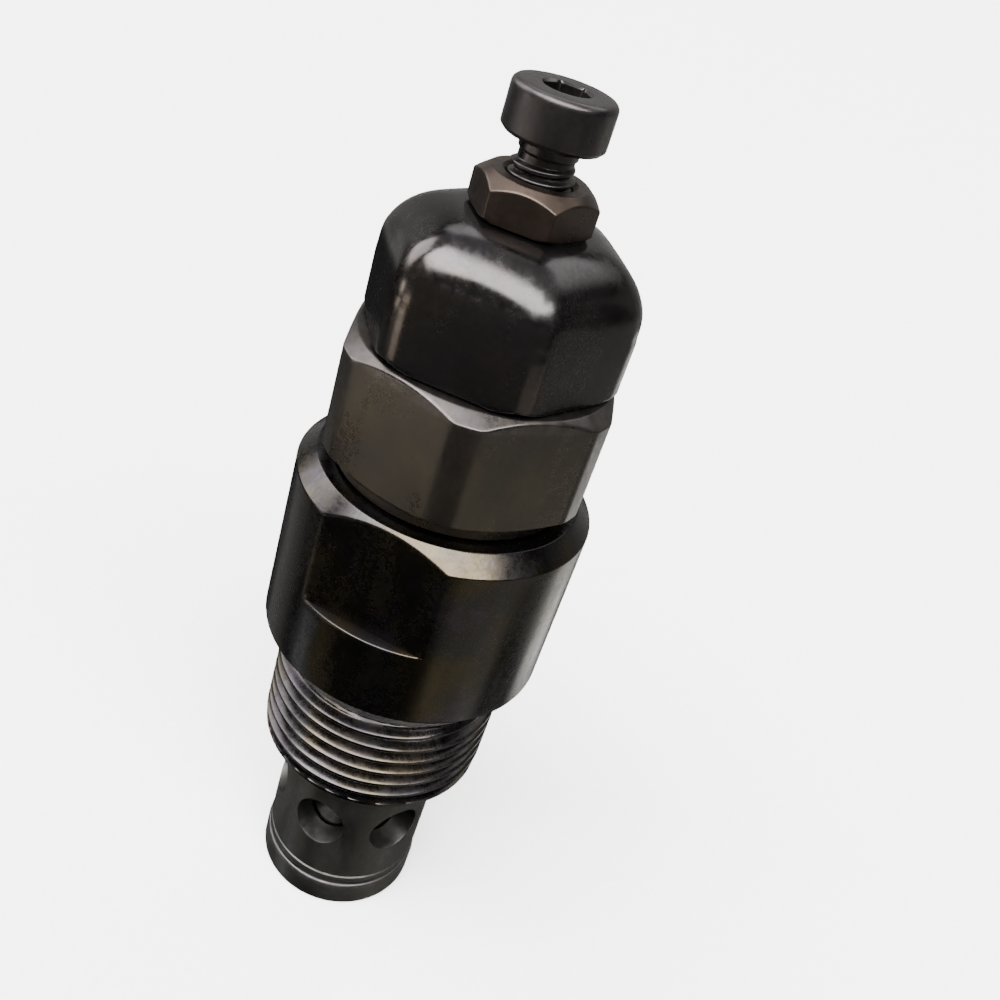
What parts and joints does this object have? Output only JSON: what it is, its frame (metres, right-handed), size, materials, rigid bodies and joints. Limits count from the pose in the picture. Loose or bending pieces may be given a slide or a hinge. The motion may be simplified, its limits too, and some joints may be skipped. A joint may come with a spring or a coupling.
{
  "type": "hydraulic relief cartridge valve",
  "caption": "Screw-in pilot-operated relief cartridge: ported nose, threaded round body with wrench flats, hexagon spring housing, domed hexagon cap and socket-head adjusting screw.",
  "frame": {"origin": "centre of the nose's end face", "axes": "+Z along the valve's axis from the nose to the adjusting screw; the body's two wrench flats face -Y and +Y"},
  "size_m": [0.0398, 0.0398, 0.127],
  "materials": {
    "body_black": "oily black oxide on turned steel",
    "cap_black": "satin black oxide with soft edges",
    "housing_olive": "phosphated steel with an olive-brown cast",
    "nut_brown": "satin brown-black heat tint",
    "screw_black": "black oxide, worn at the edges",
    "nose_steel": "dark hardened steel, ground and oiled",
    "bright_steel": "ground and lapped",
    "spring_steel": "drawn wire",
    "black_rubber": "moulded nitrile",
    "white_ptfe": "turned PTFE"
  },
  "bodies": {
    "valve": {"valve_body": "body_black", "sleeve": "nose_steel", "seat_ring": "nose_steel", "pilot_seat": "bright_steel", "housing": "housing_olive", "cap": "cap_black", "flange_o_ring": "black_rubber", "sleeve_o_ring": "black_rubber", "sleeve_backup_ring": "white_ptfe", "seat_o_ring": "black_rubber", "pilot_seat_o_ring": "black_rubber", "housing_o_ring": "black_rubber", "cap_o_ring": "black_rubber"},
    "main_stage": {"main_poppet": "bright_steel", "orifice_plug": "bright_steel", "main_spring": "spring_steel"},
    "pilot_stage": {"pilot_poppet": "bright_steel", "spring_guide": "nose_steel"},
    "plunger": {"plunger": "nose_steel", "plunger_o_ring": "black_rubber", "plunger_backup_ring": "white_ptfe", "pilot_spring": "spring_steel"},
    "adjusting_screw": {"adjusting_screw": "screw_black"},
    "lock_nut": {"lock_nut": "nut_brown"}
  },
  "joints": [
    {"name": "main_poppet_lift", "type": "slide", "parent": "valve", "child": "main_stage", "axis": [0, 0, 1], "range_m": [0, 0.004], "stiffness_N_per_m": 200, "springref_m": -0.002, "deforming": ["main_spring"]},
    {"name": "pilot_poppet_lift", "type": "slide", "parent": "valve", "child": "pilot_stage", "axis": [0, 0, 1], "range_m": [0, 0.0008], "stiffness_N_per_m": 200, "springref_m": -0.002},
    {"name": "adjuster_travel", "type": "slide", "parent": "valve", "child": "plunger", "axis": [0, 0, 1], "range_m": [-0.0025, 0.0025], "deforming": ["pilot_spring"]},
    {"name": "adjuster_turn", "type": "hinge", "parent": "plunger", "child": "adjusting_screw", "pos_m": [0, 0, 0.121], "axis": [0, 0, 1], "range_deg": [-720, 720]},
    {"name": "lock_nut_turn", "type": "hinge", "parent": "valve", "child": "lock_nut", "pos_m": [0, 0, 0.1148], "axis": [0, 0, 1], "range_deg": [0, 360]}
  ],
  "couplings": [
    {"joint": "adjuster_turn", "follows": "adjuster_travel", "rad_per_m": 5026.5}
  ]
}
